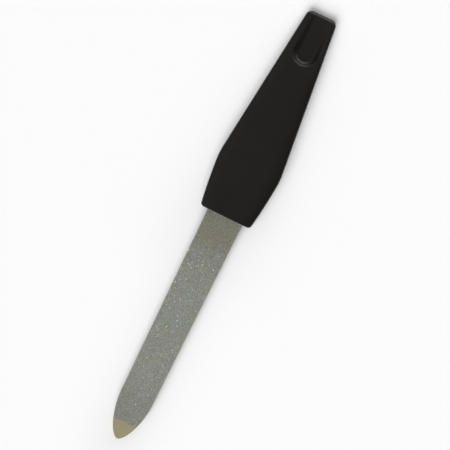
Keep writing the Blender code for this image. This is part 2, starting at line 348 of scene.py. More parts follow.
class Graph:
    """The node tree of one material, or of the room's light."""

    def __init__(self, owner: bpy.types.Material | bpy.types.World) -> None:
        """Start with an empty tree.

        Args:
            owner: the material or room that the tree belongs to.
        """
        owner.use_nodes = True
        self.owner = owner
        self.tree = owner.node_tree
        self.tree.nodes.clear()

    def add(
        self, kind: str, settings: dict[str, Any], inputs: dict[str, Any], output: str | None
    ) -> Wire | None:
        """Add a node of any type.

        Args:
            kind: the node's type.
            settings: its own settings, set first; stops fills a colour ramp.
            inputs: its sockets, by identifier or name, and the wires or values they take.
            output: the socket, by identifier or name, that is handed back, or None.

        Returns:
            The wire of that output, or None.
        """
        node = self.tree.nodes.new(kind)
        for key, value in settings.items():
            if key == "stops":
                self.fill_ramp(node.color_ramp, value)
            else:
                setattr(node, key, value)
        for key, value in inputs.items():
            socket = self.find(node.inputs, key)
            if isinstance(value, Wire):
                self.tree.links.new(value.socket, socket)
            else:
                socket.default_value = value
        return Wire(self, self.find(node.outputs, output)) if output else None

    @staticmethod
    def find(sockets: Any, key: str) -> bpy.types.NodeSocket:
        """Look a socket up by its identifier, or else by its name."""
        exact = [socket for socket in sockets if socket.identifier == key]
        return exact[0] if exact else sockets[key]

    @staticmethod
    def fill_ramp(ramp: bpy.types.ColorRamp, stops: Sequence[tuple[float, Colour]]) -> None:
        """Give a ramp its stops.

        Args:
            ramp: a colour ramp with up to as many stops.
            stops: a position and a colour for each.
        """
        while len(ramp.elements) < len(stops):
            ramp.elements.new(1.0)
        for element, (position, colour) in zip(ramp.elements, stops):
            element.position = position
            element.color = (*colour, 1.0)

    def vector(self, operation: str, inputs: dict[str, Any], output: str = "Vector") -> Wire:
        """Add a Vector Math node."""
        return self.add("ShaderNodeVectorMath", {"operation": operation}, inputs, output)

    def place(self, scale: Sequence[float] = (1, 1, 1)) -> Wire:
        """The point's place in the object's own frame, each coordinate times its scale."""
        where = self.add("ShaderNodeTexCoord", {}, {}, "Object")
        return self.add("ShaderNodeMapping", {}, {"Vector": where, "Scale": scale}, "Vector")

    def along(self, way: Wire, axis: Sequence[float]) -> Wire:
        """How far a vector reaches along an axis of length 1: their dot product."""
        return self.vector("DOT_PRODUCT", {"Vector": way, "Vector_001": axis}, "Value")

    def value(self, name: str) -> Wire:
        """One of the mesh's named values."""
        return self.add("ShaderNodeAttribute", {"attribute_name": name}, {}, "Fac")

    def noise(self, where: Wire, size: float, detail: float = 2.0) -> Wire:
        """Smooth chance numbers round 0.5 that change over a size, with finer layers on top."""
        inputs = {"Vector": where, "Scale": 1 / size, "Detail": detail}
        return self.add("ShaderNodeTexNoise", {"noise_dimensions": "3D"}, inputs, "Fac")

    def cells(self, where: Wire, size: float) -> Wire:
        """Distance to the nearest of many points strewn a size apart, as a share of it."""
        inputs = {"Vector": where, "Scale": 1 / size}
        return self.add("ShaderNodeTexVoronoi", {"feature": "F1"}, inputs, "Distance")

    def blend(self, share: Any, first: Any, second: Any) -> Wire:
        """Mix two colours.

        Args:
            share: 0 for the first, 1 for the second.
            first: a colour or a wire.
            second: a colour or a wire.

        Returns:
            The mixed colour.
        """
        pair = [c if isinstance(c, Wire) else (*c, 1.0) for c in (first, second)]
        inputs = {"Factor_Float": share, "A_Color": pair[0], "B_Color": pair[1]}
        return self.add("ShaderNodeMix", {"data_type": "RGBA"}, inputs, "Result_Color")

    def shade(self, colour: Any, strength: Any) -> Wire:
        """A colour times a number."""
        return self.vector("SCALE", {"Vector": colour, "Scale": strength})

    def tint(self, colour: Any, other: Any) -> Wire:
        """A colour times another colour."""
        return self.vector("MULTIPLY", {"Vector": colour, "Vector_001": other})

    def bump(self, height: Wire, depth: float) -> Wire:
        """The surface's normal with a relief, where a height of 1 stands out by the depth."""
        inputs = {"Height": height, "Distance": depth, "Strength": 1.0}
        return self.add("ShaderNodeBump", {}, inputs, "Normal")

    def finish(self, inputs: dict[str, Any]) -> bpy.types.Material:
        """Close a material's graph with one surface shader.

        Args:
            inputs: the shader's sockets and what they take.

        Returns:
            The material.
        """
        surface = self.add("ShaderNodeBsdfPrincipled", {}, inputs, "BSDF")
        self.add("ShaderNodeOutputMaterial", {}, {"Surface": surface}, None)
        return self.owner

    def glow(self, colour: Colour, strength: Wire) -> bpy.types.World:
        """Close a room's graph with its light.

        Args:
            colour: the light's colour.
            strength: its strength in each direction.

        Returns:
            The room.
        """
        inputs = {"Color": (*colour, 1.0), "Strength": strength}
        light = self.add("ShaderNodeBackground", {}, inputs, "Background")
        self.add("ShaderNodeOutputWorld", {}, {"Surface": light}, None)
        return self.owner


# Finishes. A range says where an effect starts and where it is full.


@dataclass(frozen=True)
class BlackPlastic:
    """Satin warm black moulding, spark-textured, smoother where fingers rub it."""

    name: str = "black_plastic_moulded"
    body: Colour = (0.0081, 0.0070, 0.0055)
    rubbed: Colour = (0.0083, 0.0072, 0.0056)
    roughness: float = 0.31
    rub_polish: float = 0.03
    gloss: float = 0.27
    cloud: float = 7.0 * MM
    cloud_shade: float = 0.30
    cloud_roughness: float = 0.08
    grain: float = 0.16 * MM
    grain_shade: float = 0.16
    pit_grains: float = 2.1
    pit_share: float = 0.4
    relief: float = 0.0015 * MM

    def material(self) -> bpy.types.Material:
        """Build the shader.

        Returns:
            The finish of the handle.
        """
        graph = Graph(bpy.data.materials.new(self.name))
        place = graph.place()
        cloud = graph.noise(place, self.cloud, detail=3.0)
        grain = graph.noise(place, self.grain)
        pits = graph.cells(place, self.grain * self.pit_grains)
        rub = graph.value("rub")
        shade = cloud.around(1.0, self.cloud_shade) + grain.around(0.0, self.grain_shade)
        roughness = cloud.around(self.roughness, self.cloud_roughness) - rub * self.rub_polish
        relief = grain * (1 - self.pit_share) + pits * self.pit_share
        return graph.finish(
            {
                "Base Color": graph.shade(graph.blend(rub, self.body, self.rubbed), shade),
                "Roughness": roughness,
                "Specular IOR Level": self.gloss,
                "Normal": graph.bump(relief, self.relief),
            }
        )


@dataclass(frozen=True)
class SatinSteel:
    """Rolled steel strip, faintly yellow, with fine lines along it and brighter cut edges."""

    name: str = "satin_steel_rolled"
    face: Colour = (0.322, 0.306, 0.166)
    warm_tint: Colour = (0.337, 0.288, 0.168)
    edge: Colour = (0.31, 0.32, 0.295)
    metal: float = 0.55
    roughness: float = 0.5
    cloud: float = 0.9 * MM
    cloud_range: Range = (0.35, 0.70)
    lines: tuple[float, float, float] = (60, 5200, 5200)
    line_shade: float = 0.22
    line_roughness: float = 0.16
    scratches: tuple[float, float, float] = (3100, 420, 3100)
    scratch_range: Range = (0.66, 0.74)
    scratch_polish: float = 0.06
    scratch_share: float = 0.2
    relief: float = 0.0012 * MM

    def material(self) -> bpy.types.Material:
        """Build the shader.

        The lines along the strip and the scratches across it are noise, drawn out by a scale for
        each axis.

        Returns:
            The finish of the blade.
        """
        graph = Graph(bpy.data.materials.new(self.name))
        lines = graph.noise(graph.place(self.lines), 1.0)
        scratches = graph.noise(graph.place(self.scratches), 1.0, detail=1.0)
        scratches = scratches.between(*self.scratch_range)
        cloud = graph.noise(graph.place(), self.cloud, detail=3.0)
        colour = graph.blend(cloud.between(*self.cloud_range), self.face, self.warm_tint)
        colour = graph.shade(colour, lines.around(1.0, self.line_shade))
        roughness = lines.around(self.roughness, self.line_roughness)
        relief = lines * (1 - self.scratch_share) + scratches * self.scratch_share
        return graph.finish(
            {
                "Base Color": graph.blend(graph.value("edge"), colour, self.edge),
                "Metallic": self.metal,
                "Roughness": roughness - scratches * self.scratch_polish,
                "Normal": graph.bump(relief, self.relief),
            }
        )


@dataclass(frozen=True)
class CrystalGrit:
    """Crushed corundum in its bond: grey-green crystals, a few blue or pink, and painted glints.
    """

    name: str
    cool: Colour = (0.263, 0.276, 0.282)
    warm: Colour = (0.299, 0.275, 0.199)
    # Painted shade: the warmer colour of the coat where the handle's shadow falls on it.
    warm_tint: Colour = (0.99, 0.93, 0.84)
    # Painted glints: the near-white that the palest crystals are drawn in, for light they catch.
    glint_white: Colour = (0.90, 0.95, 1.0)
    blue: Colour = (0.140, 0.266, 0.460)
    olive: Colour = (0.238, 0.316, 0.062)
    pink: Colour = (0.385, 0.222, 0.225)
    bond: Colour = (0.173, 0.173, 0.133)
    contrast: float = 0.68
    tint: float = 0.72
    # Painted glints: the palest crystals by tone, drawn near white and glossier.
    spark_range: Range = (0.986, 0.998)
    spark_gloss: float = 0.15
    cloud: float = 2.2 * MM
    cloud_range: Range = (0.35, 0.65)
    drift: float = 0.8 * MM
    drift_range: Range = (0.3, 0.7)
    drift_share: float = 0.28
    # Painted shade: where the coat starts to turn warmer towards the handle, and where it is fully
    # warm.
    shadow_tint_range: Range = (-10.0 * MM, -3.5 * MM)
    # Painted shade: the coat darkens near the handle, where the handle's shadow falls; the
    # darkening grows evenly to its peak and fades evenly inside the mouth.
    painted_shade_from: float = -17.5 * MM
    painted_shade_peak: float = -4.5 * MM
    painted_shade_to: float = 4.0 * MM
    painted_shade_depth: float = 0.15
    # The coat is a little darker towards the tip.
    tip_dim_range: Range = (-47.0 * MM, -51.0 * MM)
    tip_dim_depth: float = 0.075
    bond_range: Range = (0.0, 0.55)
    bond_roughness: float = 0.2
    roughness: float = 0.42
    refraction: float = 1.76
    grain: float = 0.06 * MM
    grain_shade: float = 0.3
    relief: float = 0.006 * MM

    def material(self) -> bpy.types.Material:
        """Build the shader.

        Near the handle the coat carries a painted shade for the handle's shadow: it turns warmer,
        and a darkening grows evenly to its peak and fades evenly again; the painted glints are
        left out there. Towards the tip it is a little darker too. Tone and hue are each crystal's
        own chance numbers, and lift is 0 in the bond and 1 on a crystal's top.

        Returns:
            The finish of one coat.
        """
        graph = Graph(bpy.data.materials.new(self.name))
        place = graph.place()
        tone, hue, lift = graph.value("tone"), graph.value("hue"), graph.value("lift")
        along = graph.along(place, (1.0, 0.0, 0.0))
        # Painted shade: the coat turns warmer near the handle, where its shadow falls.
        yellowed = along.between(*self.shadow_tint_range)
        # Painted shade: the darkening near the handle, rising to its peak and falling again.
        growing = along.between(self.painted_shade_from, self.painted_shade_peak)
        painted_shade = growing - along.between(self.painted_shade_peak, self.painted_shade_to)
        darkening = painted_shade * self.painted_shade_depth + along.between(*self.tip_dim_range) * self.tip_dim_depth
        # Painted glints on the palest crystals, left out where the handle's painted shadow lies.
        spark = tone.between(*self.spark_range) * (1.0 - yellowed)
        cloud = graph.noise(place, self.cloud).between(*self.cloud_range)
        turned = graph.place((1, -1, 1))  # so that the drift doesn't follow the cloud
        drift = graph.noise(turned, self.drift).between(*self.drift_range)
        plain = graph.blend(cloud, self.cool, self.warm)
        grey = self.cool
        stops = [(0.0, self.blue), (0.2, self.olive), (0.4, grey), (0.7, grey), (1.0, self.pink)]
        shift = hue * (1 - self.drift_share) + drift * self.drift_share
        tinted = graph.add("ShaderNodeValToRGB", {"stops": stops}, {"Fac": shift}, "Color")
        colour = graph.blend(self.tint, plain, tinted)
        colour = graph.shade(colour, tone.around(1.0, self.contrast))
        # Painted glints: the palest crystals turn near white.
        colour = graph.blend(spark, colour, self.glint_white)
        colour = graph.blend(lift.between(*self.bond_range), self.bond, colour)
        # Painted shade: the warmer colour near the handle.
        colour = graph.tint(colour, graph.blend(yellowed, (1.0, 1.0, 1.0), self.warm_tint))
        grain = graph.noise(place, self.grain)
        roughness = self.roughness + self.bond_roughness - lift * self.bond_roughness
        # The grain's tone, darkened by the painted shade near the handle and towards the tip.
        shade = grain.around(1.0, self.grain_shade) * (1.0 - darkening)
        return graph.finish(
            {
                "Base Color": graph.shade(colour, shade),
                "Roughness": roughness - spark * self.spark_gloss,
                "IOR": self.refraction,
                "Normal": graph.bump(grain, self.relief),
            }
        )


@dataclass(frozen=True)
class PaleFloor:
    """The matt white sweep under the file."""

    name: str = "pale_floor"
    colour: Colour = (0.955, 0.955, 0.955)
    cloud: float = 400.0 * MM
    cloud_shade: float = 0.01

    def material(self) -> bpy.types.Material:
        """Build the shader.

        Returns:
            The floor's finish.
        """
        graph = Graph(bpy.data.materials.new(self.name))
        cloud = graph.noise(graph.place(), self.cloud, detail=1.0)
        colour = graph.shade(self.colour, cloud.around(1.0, self.cloud_shade))
        return graph.finish({"Base Color": colour, "Roughness": 1.0, "Specular IOR Level": 0.0})


# Pieces


@dataclass
class BladeSteel:
    """The steel strip: arched tip, tapered long edges, shoulders, a tang with two key holes.

    The tip's points crowd towards its very end, by a power. The nick has points of its own, which
    reach a few of its breadths off, and the side's points keep clear of them.
    """

    reach: float = 65.4 * MM
    mouth_width: float = 10.2 * MM
    taper: float = math.radians(0.5)
    tip_length: float = 11.7 * MM
    power_along: float = 1.74
    power_across: float = 1.69
    shoulder_depth: float = 2.0 * MM
    tang_length: float = 27.0 * MM
    tang_width: float = 6.4 * MM
    root_radius: float = 0.4 * MM
    end_radius: float = 2.2 * MM
    hole_radius: float = 1.3 * MM
    hole_margin: float = 5.5 * MM
    hole_pitch: float = 10.0 * MM
    edge_radius: float = 0.1 * MM
    guard: float = 0.16 * MM
    yellowed: float = 6.5 * MM
    nick_place: float = 53.3 * MM
    nick_depth: float = 0.34 * MM
    nick_breadth: float = 0.17 * MM
    tip_points: int = 70
    tip_crowding: float = 2.2
    side_points: int = 60
    side_margin: float = 0.5 * MM
    nick_points: int = 29
    nick_reach: float = 3.5
    nick_clear: float = 4.0
    end_steps: int = 16
    edge_steps: int = 5
    hole_points: int = 48
    tip_x: float = field(default_factory=lambda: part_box("blade")[0].x)
    low: float = field(default_factory=lambda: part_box("blade")[0].z)
    high: float = field(default_factory=lambda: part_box("blade")[1].z)

    def half_width(self, place: Array) -> Array:
        """Half the strip's width: a straight taper, times a superellipse over the tip.

        The superellipse is one less what is left of the tip's length to one power, all to one
        over the other power.

        Args:
            place: distances from the tip.

        Returns:
            The half widths.
        """
        edge = self.mouth_width / 2 + math.tan(self.taper) * (place - self.reach)
        ahead = np.clip(1 - place / self.tip_length, 0.0, 1.0)
        return edge * (1 - ahead**self.power_along) ** (1 / self.power_across)

    def hole_places(self) -> tuple[float, float]:
        """The x of both key holes."""
        last = self.tip_x + self.reach + self.tang_length - self.hole_margin
        return last, last - self.hole_pitch

    def nick(self, place: Array, spread: float = 1.0) -> Array:
        """The nick's depth: a bell, e to minus the square of the distance over its breadth."""
        off = (place - self.nick_place) / (self.nick_breadth * spread)
        return self.nick_depth * np.exp(-(off**2))

    @staticmethod
    def fillet(
        corner: Array, before: Array, after: Array, radius: float, steps: int = 10
    ) -> Array:
        """Points of the arc that rounds a corner.

        Args:
            corner: the corner's x and y.
            before: a point on the line into it.
            after: a point on the line out of it.
            radius: the arc's radius.
            steps: the arc's number of chords.

        Returns:
            The arc's points, one a row.
        """
        back = (before - corner) / np.linalg.norm(before - corner)
        ahead = (after - corner) / np.linalg.norm(after - corner)
        turn = math.pi - math.acos(float(back @ ahead))
        middle = (back + ahead) / np.linalg.norm(back + ahead)
        centre = corner + middle * radius / math.cos(turn / 2)
        spoke = corner + back * radius * math.tan(turn / 2) - centre
        way = math.copysign(1.0, ahead[0] * back[1] - ahead[1] * back[0])
        angle = way * turn * np.linspace(0, 1, steps + 1)
        x = spoke[0] * np.cos(angle) - spoke[1] * np.sin(angle)
        y = spoke[0] * np.sin(angle) + spoke[1] * np.cos(angle)
        return centre + np.stack([x, y], axis=1)

    def outline(self) -> Array:
        """The strip seen from above, from its tip round by y > 0, where the nick is, and back.

        Returns:
            The outline's points, one a row.
        """
        tip = self.tip_length * np.linspace(0, 1, self.tip_points) ** self.tip_crowding
        straight = self.reach + self.shoulder_depth - self.side_margin
        side = np.linspace(self.tip_length, straight, self.side_points)[1:]
        side = side[np.abs(side - self.nick_place) > self.nick_clear * self.nick_breadth]
        nick = np.linspace(-self.nick_reach, self.nick_reach, self.nick_points)
        nick = self.nick_place + self.nick_breadth * nick
        places = np.concatenate([tip, np.sort(np.concatenate([side, nick]))])
        edge = np.stack([self.tip_x + places, self.half_width(places)], axis=1)
        edge[0, 1] = 0.0
        root = self.tip_x + self.reach + self.shoulder_depth
        end = self.tip_x + self.reach + self.tang_length
        shoulder = float(self.half_width(np.array(self.reach + self.shoulder_depth)))
        half = self.tang_width / 2
        corners = np.array([[root, shoulder], [root, half], [end, half], [end, 0.0]])
        first = self.fillet(corners[0], edge[-1], corners[1], self.root_radius)
        second = self.fillet(corners[1], corners[0], corners[2], self.root_radius)
        third = self.fillet(corners[2], corners[1], corners[3], self.end_radius, self.end_steps)
        half_line = np.concatenate([edge, first, second, third, corners[3:]])
        outline = mirrored(half_line, (1, -1))
        outline[: len(places), 1] -= self.nick(places)
        return outline

    @staticmethod
    def inwards(outline: Array) -> Array:
        """The mitres of a closed outline's corners, which move both sides inwards by 1.

        A mitre points halfway between the normals of its two sides, and its length is one over
        its dot product with either.

        Args:
            outline: the outline's points, one a row.

        Returns:
            The mitres, one a row.
        """
        edges = np.roll(outline, -1, axis=0) - outline
        edges = edges / np.linalg.norm(edges, axis=1, keepdims=True)
        normal = np.stack([edges[:, 1], -edges[:, 0]], axis=1)
        mitre = normal + np.roll(normal, 1, axis=0)
        mitre = mitre / np.linalg.norm(mitre, axis=1, keepdims=True)
        return mitre / np.sum(mitre * normal, axis=1, keepdims=True)

    @staticmethod
    def halves(ring: Array) -> tuple[Array, Array]:
        """Both ways round an even ring of point numbers, from its first to its middle one."""
        middle = len(ring) // 2
        return ring[: middle + 1], np.roll(ring[::-1], 1)[: middle + 1]

    def build(self, finish: SatinSteel) -> bpy.types.Object:
        """Carry the edge's rounded profile round the outline and close both faces.

        Each profile point is an inset from the outline and a height; the rounds are quarter
        circles, and a level guard inside each keeps the faces' shading flat. Each face is two
        halves that meet along the middle and have half of every key hole left out.

        Args:
            finish: the steel's finish.

        Returns:
            The blade's object.
        """
        surface = Surface()
        outline = self.outline()
        turns = np.linspace(0, math.pi / 2, self.edge_steps + 1)
        inset = np.concatenate([[self.guard], self.edge_radius * (1 - np.sin(turns))])
        rise = np.concatenate([[0.0], self.edge_radius * (1 - np.cos(turns))])
        insets = np.concatenate([inset, inset[::-1]])
        heights = np.concatenate([self.low + rise, self.high - rise[::-1]])
        wall = outline[None] + self.inwards(outline)[None] * insets[:, None, None]
        levels = np.broadcast_to(heights[:, None, None], (*wall.shape[:2], 1))
        rings = surface.add_points(np.concatenate([wall, levels], axis=2))
        surface.add_faces(strips(rings))

        holes = []
        for centre in self.hole_places():
            hole = circles(centre, self.hole_radius, self.hole_points, (self.low, self.high))
            holes.append(surface.add_points(hole))
            surface.add_faces(strips(holes[-1]))
        for level, flip in ((0, False), (-1, True)):
            pairs = zip(*(self.halves(loop[level]) for loop in (rings, *holes)))
            for half, turned in zip(pairs, (flip, not flip)):
                surface.add_faces(np.concatenate(half)[None], flip=turned)

        worn = np.clip(1 - insets / self.edge_radius, 0.0, 1.0)[:, None]
        coated = outline[:, 0] > self.tip_x + self.yellowed
        bores = np.zeros(sum(hole.size for hole in holes))
        edge = np.concatenate([np.maximum(worn, coated).ravel(), bores])
        surface.values["edge"] = (Domain.POINT, edge)
        piece = surface.build("blade_steel", finish.material(), SHARP)
        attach(piece, "root")
        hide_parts("blade")
        return piece


@dataclass
class GritBed:
    """One face's coat: a bed of blunt crystals, side by side in their bond.

    The bed is a lattice of cells. Each cell's corners lie low, in the bond, and hold up a smaller,
    turned and tilted top: a crystal. Jitter and sway are shares of a cell, and the tops' heights,
    the bond and the clearance over it are shares of the coat's thickness.
    """

    face: Face
    node: str
    name: str
    slot: str
    cell: float
    seed: int
    blade: BladeSteel
    tip_margin: float = 4.85 * MM
    edge_margin: float = 0.2 * MM
    tuck: float = 1.0 * MM
    jitter: float = 0.30
    sway: Range = (-0.1, 0.3)
    wave: float = 0.45 * MM
    wave_fade: float = 1.5 * MM
    wave_span: float = 4.0 * MM
    wave_lengths: tuple[float, ...] = (5.0 * MM, 2.1 * MM, 0.9 * MM, 0.5 * MM)
    ragged: float = 0.55
    ragged_lengths: tuple[float, ...] = (3.0 * MM, 1.1 * MM, 0.5 * MM)
    ragged_shift: float = 100.0 * MM
    nick_share: float = 1.1
    nick_spread: float = 2.0
    top_sizes: Range = (0.40, 0.72)
    top_turns: Range = (0.0, 0.5)
    top_heights: Range = (0.68, 0.94)
    tilt: float = math.radians(12)
    bond_share: float = 0.40
    bond_scatter: float = 0.05
    clearance: float = 0.02

    def lattice(self) -> tuple[Array, Array]:
        """Places of the cells' corners, seen from above.

        Rows run across the blade. A corner's place is its even place plus a chance shift, with
        every other row moved along by two fifths of a cell, all squeezed between the coat's
        uneven edges. The wave that its edge at the tip makes in the rows fades as e to minus the
        distance over its fade.

        Returns:
            Distances from the tip and y, both with a row for each row of corners.
        """
        rng = np.random.default_rng(self.seed)
        length = self.blade.reach + self.tuck - self.tip_margin
        rows = round(length / self.cell)
        columns = round((self.blade.mouth_width - 2 * self.edge_margin) / self.cell)
        row, column = np.meshgrid(np.arange(rows + 1.0), np.arange(columns + 1.0), indexing="ij")
        inner_rows = (row > 0) & (row < rows)
        inner_columns = (column > 0) & (column < columns)
        row = row + inner_rows * rng.uniform(-self.jitter, self.jitter, row.shape)
        sway = np.resize(self.sway, rows + 1)[:, None]
        shift = rng.uniform(-self.jitter, self.jitter, row.shape) + sway
        column = column + inner_columns * shift
        across = column / columns * 2 - 1
        place = self.tip_margin + row / rows * length
        wave = ripple(across * self.wave_span, self.seed, self.wave_lengths)
        fade = np.exp(-(place - self.tip_margin) / self.wave_fade)
        place = place + self.wave * wave * fade
        left = across > 0
        ragged = ripple(place + left * self.ragged_shift, self.seed + 1, self.ragged_lengths)
        margin = self.edge_margin * (1 + self.ragged * ragged)
        margin = margin + self.nick_share * self.blade.nick(place, self.nick_spread) * left
        return place, across * (self.blade.half_width(place) - margin)

    def crystals(self, place: Array, y: Array) -> tuple[Array, Array]:
        """Heights and tops of the crystals.

        A top's corners stand between the cell's middle and its corners by a chance share, turned
        part of the way to the next corner, on a plane with a chance height and tilt.

        Args:
            place: the lattice's distances from the tip.
            y: the lattice's y.

        Returns:
            Heights of the lattice's corners, and the tops' points as rows, columns, corners, xyz.
        """
        rng = np.random.default_rng(self.seed + 2)
        lowest, highest = (corner.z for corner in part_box(self.node))
        thick = highest - lowest
        scatter = rng.uniform(-self.bond_scatter, self.bond_scatter, place.shape)
        bond = self.bond_share * thick + scatter * thick
        ring = np.stack(cell_corners(np.stack([place, y], axis=-1)), axis=2)
        middle = ring.mean(axis=2, keepdims=True)
        shape = (*ring.shape[:2], 1)
        size = rng.uniform(*self.top_sizes, shape)[..., None]
        turn = rng.uniform(*self.top_turns, shape)[..., None]
        spoke = ring - middle
        spoke = spoke * (1 - turn) + np.roll(spoke, -1, axis=2) * turn
        top = middle + spoke * size
        slope = np.tan(rng.normal(0.0, self.tilt, (*shape, 2)))
        height = rng.uniform(*self.top_heights, shape) * thick
        height = height + np.sum((top - middle) * slope, axis=-1)
        height = np.clip(height, bond.max() + self.clearance * thick, thick)
        return bond, np.concatenate([top, height[..., None]], axis=-1)

    def build(self, finish: CrystalGrit) -> bpy.types.Object:
        """Join the crystals into one closed bed, with its own walls and a flat underside.

        Args:
            finish: the grit's finish.

        Returns:
            The coat's object.
        """
        place, y = self.lattice()
        bond, tops = self.crystals(place, y)
        lowest, highest = (corner.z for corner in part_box(self.node))
        base, way = (lowest, 1) if self.face is Face.FRONT else (highest, -1)
        flip = self.face is Face.BACK
        x = self.blade.tip_x + place
        surface = Surface()
        corners = surface.add_points(np.stack([x, y, base + way * bond], axis=-1))
        top = surface.add_points(tops * (1, 1, way) + (self.blade.tip_x, 0, base))
        low = cell_corners(corners)
        for side in range(4):
            after = (side + 1) % 4
            wall = np.stack([low[side], low[after], top[..., after], top[..., side]], axis=-1)
            surface.add_faces(wall.reshape(-1, 4), flip=flip)
        surface.add_faces(top.reshape(-1, 4), flip=flip)

        border = rim(x)
        under = np.stack([border, rim(y), np.full(border.size, base)], axis=-1)
        foot = surface.add_points(under)
        walls = strips(np.stack([rim(corners), foot]))
        surface.add_faces(walls, flip=flip)
        surface.add_faces(foot[None], flip=not flip)

        rng = np.random.default_rng(self.seed + 3)
        count = top[..., 0].size
        shared = 5  # a crystal's four walls and its top
        plain = len(walls) + 1
        tone = np.concatenate([np.tile(rng.uniform(0, 1, count), shared), np.zeros(plain)])
        hue = np.concatenate([np.tile(rng.uniform(0, 1, count), shared), np.full(plain, 0.5)])
        lift = np.concatenate([np.zeros(corners.size), np.ones(top.size), np.zeros(foot.size)])
        surface.values["tone"] = (Domain.FACE, tone)
        surface.values["hue"] = (Domain.FACE, hue)
        surface.values["lift"] = (Domain.POINT, lift)
        piece = surface.build(self.name, finish.material(), None)
        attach(piece, "root")
        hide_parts(self.node)
        return piece


@dataclass
class HandleShell:
    """The moulded handle: lofted body, fingertip scoop, mouth with its slot, pocket and keys.

    Crown and rounds are limited to shares of the room between the parting line and the surface.
    """

    blade: BladeSteel
    length: float = 59.6 * MM
    mouth_width: float = 14.54 * MM
    waist_width: float = 17.96 * MM
    end_width: float = 8.31 * MM
    waist_place: float = 15.0 * MM
    waist_ease: float = 1.9 * MM
    head_bow: float = 0.2 * MM
    mouth_corner: float = 0.85 * MM
    end_corner: float = 1.55 * MM
    mouth_thickness: float = 5.2 * MM
    nose_thickness: float = 4.2 * MM
    nose_length: float = 14.1 * MM
    nose_drop: float = 1.42 * MM
    nose_ease: float = 2.5 * MM
    back_lift: float = 0.5 * MM
    back_lift_length: float = 12.0 * MM
    mouth_edge: float = 0.07 * MM
    end_face_edge: float = 1.35 * MM
    end_back_edge: float = 0.4 * MM
    face_edge: float = 0.6 * MM
    back_edge: float = 0.8 * MM
    draft: float = math.radians(2.5)
    crown_share: float = 0.062
    crown_power: float = 6.5
    crown_fade: float = 0.8
    crown_fade_length: float = 5.0 * MM
    crown_fade_lead: float = 0.2
    crown_limit: float = 0.5
    round_limit: float = 0.8
    foot_radius: float = 2.59 * MM
    scoop_margin: float = 11.2 * MM
    scoop_depth: float = 1.45 * MM
    scoop_off: float = -0.22 * MM
    wall_slope: float = 1.5
    foot_ease: float = 0.72 * MM
    rim_ease: float = 0.50 * MM
    parting_ridge: float = 0.02 * MM
    ridge_places: tuple[float, ...] = (0.09, 0.05, 0.02, -0.02, -0.05, -0.09)  # millimetres
    ridge_shape: tuple[float, ...] = (0.0, 0.35, 1.0, 1.0, 0.35, 0.0)
    ridge_room: float = 1.0 * MM
    slot_gap: float = 0.04 * MM
    slot_lip: float = 0.12 * MM
    slot_corner: float = 0.08 * MM
    key_overlap: float = 0.1 * MM
    worn_edge: float = 0.86
    thumb_place: float = 8.0 * MM
    thumb_breadth: float = 5.0 * MM
    rub_share: float = 0.8
    body_step: float = 0.7 * MM
    waist_step: float = 0.3 * MM
    waist_reach: float = 2.4 * MM
    scoop_step: float = 0.11 * MM
    scoop_lead: float = 2.0 * MM
    end_steps: int = 11
    face_steps: int = 50
    corner_steps: int = 8
    side_steps: int = 4
    back_steps: int = 6
    lip_steps: int = 5
    key_points: int = 24
    settling: int = 12
    mouth_x: float = field(default_factory=lambda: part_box("handle")[0].x)
    middle_z: float = field(
        default_factory=lambda: (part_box("blade")[0].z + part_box("blade")[1].z) / 2
    )

    def half_width(self, place: Array) -> Array:
        """Half the body's width at its parting line: bowed head, eased waist, straight tail.

        The tail narrows evenly. Ahead of the waist the head narrows evenly too, and a parabola,
        four times share times one less share, bows it out.

        Args:
            place: distances from the mouth.

        Returns:
            The half widths.
        """
        tail = (self.waist_width - self.end_width) / 2 / (self.length - self.waist_place)
        ahead = eased(self.waist_place - place, self.waist_ease)
        share = ahead / self.waist_place
        fall = (self.waist_width - self.mouth_width) / 2 * share
        fall = fall - 4 * self.head_bow * share * (1 - share)
        return self.waist_width / 2 - tail * (place - self.waist_place + ahead) - fall

    def main_face(self, place: Array) -> Array:
        """The straight line of the face from the mouth to the nose, run on to the end."""
        fall = (self.mouth_thickness - self.nose_thickness) * place
        return self.mouth_thickness - fall / (self.length - self.nose_length)

    def face_height(self, place: Array) -> Array:
        """The face along its middle, turning down over the nose."""
        behind = eased(place - (self.length - self.nose_length), self.nose_ease)
        return self.main_face(place) - self.nose_drop * behind / self.nose_length

    def back_height(self, place: Array) -> Array:
        """The back: level, then a parabola up to the end."""
        share = np.clip(1 - (self.length - place) / self.back_lift_length, 0.0, None)
        return self.back_lift * share**2

    def stations(self) -> Array:
        """Places of the sections, closest at both ends and over the scoop.

        Returns:
            Their distances from the mouth.
        """
        turns = 1 - np.cos(np.linspace(0, math.pi / 2, self.end_steps + 1))
        ends = [turns * self.mouth_corner, turns * self.mouth_edge]
        ends += [self.length - turns * self.end_corner, self.length - turns * self.end_face_edge]
        scoop = self.length - self.scoop_margin - self.foot_radius - self.scoop_lead
        before, after = self.waist_place - self.waist_reach, self.waist_place + self.waist_reach
        body = [np.arange(self.mouth_corner, scoop, self.body_step)]
        body += [np.arange(before, after, self.waist_step)]
        body += [np.arange(scoop, self.length - self.end_corner, self.scoop_step)]
        return np.unique(np.round(np.concatenate(ends + body), 7))

    def scooped(self, place: Array, y: Array) -> Array:
        """How deep the scoop is below the face at places seen from above.

        The floor is level, so its depth below the face fades as the nose falls. Past the foot the
        wall rises evenly with the distance from the middle, and it is eased into floor and face.

        Args:
            place: distances from the mouth.
            y: places across.

        Returns:
            The depths.
        """
        centre = self.length - self.scoop_margin
        reach = np.hypot(np.minimum(place - centre, 0.0), y - self.scoop_off)
        floor = self.face_height(place) - self.main_face(place) + self.scoop_depth
        wall = self.wall_slope * eased(reach - self.foot_radius, self.foot_ease)
        return eased(floor - wall, self.rim_ease)

